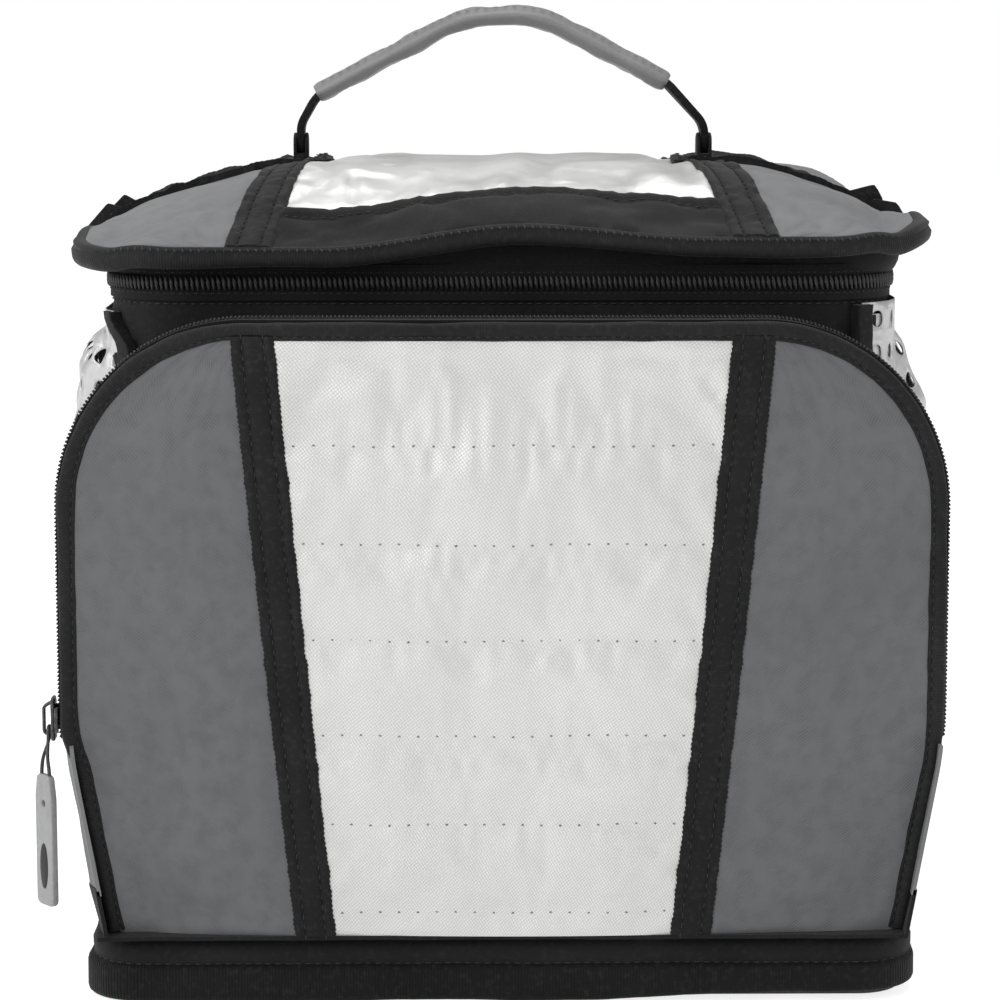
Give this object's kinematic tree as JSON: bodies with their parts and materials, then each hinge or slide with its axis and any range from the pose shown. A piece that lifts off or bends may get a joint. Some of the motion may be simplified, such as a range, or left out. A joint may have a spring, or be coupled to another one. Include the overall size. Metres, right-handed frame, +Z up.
{
  "type": "insulated carrier bag",
  "caption": "Soft insulated carrier bag for cold goods, with a zipped hinged lid, a webbing carry handle, a zipped front pocket with a fold-down flap and film side pockets.",
  "frame": {"origin": "centre of the base's rest face", "axes": "+X to the bag's right seen from the front, -Y out of the front pocket, +Z up"},
  "size_m": [0.2893, 0.235, 0.3204],
  "materials": {
    "black_fabric": "matte",
    "pocket_lining_cloth": "matte",
    "black_webbing": "matte",
    "grey_fabric": "matte",
    "silver_fabric": "satin",
    "silver_film": "gloss",
    "foam": "matte",
    "liner_foil": "gloss",
    "zip_tape": "matte",
    "zip_coil": "satin",
    "slider_metal": "satin",
    "pull_rubber": "satin",
    "grip_vinyl": "satin",
    "base_board": "matte"
  },
  "bodies": {
    "carrier": {"base_panel": "black_fabric", "base_board": "base_board", "base_foam": "foam", "base_hem": "black_fabric", "base_band": "black_fabric", "front_wall": "black_fabric", "rear_wall": "black_fabric", "left_wall": "black_fabric", "right_wall": "black_fabric", "front_foam": "foam", "rear_foam": "foam", "side_foams": "foam", "liner_tub": "liner_foil", "rim_binding": "black_fabric", "lid_zip_tape_lower": "zip_tape", "lid_zip_coil_lower": "zip_coil", "pocket_gusset": "black_fabric", "pocket_gusset_lower": "grey_fabric", "pocket_floor": "black_fabric", "pocket_zip_tape": "zip_tape", "pocket_zip_coil": "zip_coil", "pocket_silver": "silver_fabric", "pocket_straps": "black_webbing", "pocket_lining": "pocket_lining_cloth", "pocket_binding": "black_fabric", "pocket_grey_panels": "grey_fabric", "side_pocket_left": "silver_film", "side_pocket_right": "silver_film", "side_pocket_elastics": "black_webbing"},
    "lid": {"lid_grey_left": "grey_fabric", "lid_grey_right": "grey_fabric", "lid_straps": "black_webbing", "lid_silver": "silver_fabric", "lid_front_band": "black_fabric", "lid_cross_strap": "black_webbing", "lid_edge_binding": "black_fabric", "lid_facing": "black_fabric", "lid_skirt": "black_fabric", "lid_foam": "foam", "lid_liner": "liner_foil", "lid_zip_tape_upper": "zip_tape", "lid_zip_coil_upper": "zip_coil", "corner_tabs": "black_fabric", "handle_anchors": "black_webbing"},
    "pocket_flap": {"flap_silver": "silver_fabric", "flap_straps": "black_webbing", "flap_lining": "pocket_lining_cloth", "flap_binding": "black_fabric", "flap_grey_left": "grey_fabric", "flap_grey_right": "grey_fabric", "flap_zip_tape": "zip_tape", "flap_zip_coil": "zip_coil"},
    "handle": {"handle_webbing": "black_webbing", "handle_grip": "grip_vinyl"},
    "pocket_slider": {"pocket_slider": "slider_metal"},
    "pocket_pull": {"pocket_pull": "slider_metal", "pocket_pull_tab": "pull_rubber"},
    "lid_slider": {"lid_slider": "slider_metal"},
    "lid_pull": {"lid_pull": "slider_metal", "lid_pull_tab": "pull_rubber"}
  },
  "joints": [
    {"name": "lid_hinge", "type": "hinge", "parent": "carrier", "child": "lid", "pos_m": [0, 0.105, 0.23], "axis": [-1, 0, 0], "range_deg": [0, 105]},
    {"name": "handle_fold", "type": "hinge", "parent": "lid", "child": "handle", "pos_m": [0, 0.015, 0.27277], "axis": [1, 0, 0], "range_deg": [-60, 60]},
    {"name": "flap_hinge", "type": "hinge", "parent": "carrier", "child": "pocket_flap", "pos_m": [0, -0.1192, 0.086], "axis": [1, 0, 0], "range_deg": [0, 110]},
    {"name": "pocket_zip_slide", "type": "slide", "parent": "carrier", "child": "pocket_slider", "axis": [0, 0, 1], "range_m": [0, 0.06]},
    {"name": "pocket_pull_swing", "type": "hinge", "parent": "pocket_slider", "child": "pocket_pull", "pos_m": [-0.1449, -0.10365, 0.0905], "axis": [0, 1, 0], "range_deg": [0, 150]},
    {"name": "lid_zip_slide", "type": "slide", "parent": "carrier", "child": "lid_slider", "axis": [0, -1, 0], "range_m": [0, 0.1]},
    {"name": "lid_pull_swing", "type": "hinge", "parent": "lid_slider", "child": "lid_pull", "pos_m": [-0.1327, 0.0572, 0.23], "axis": [0, 0, -1], "range_deg": [0, 150]}
  ]
}
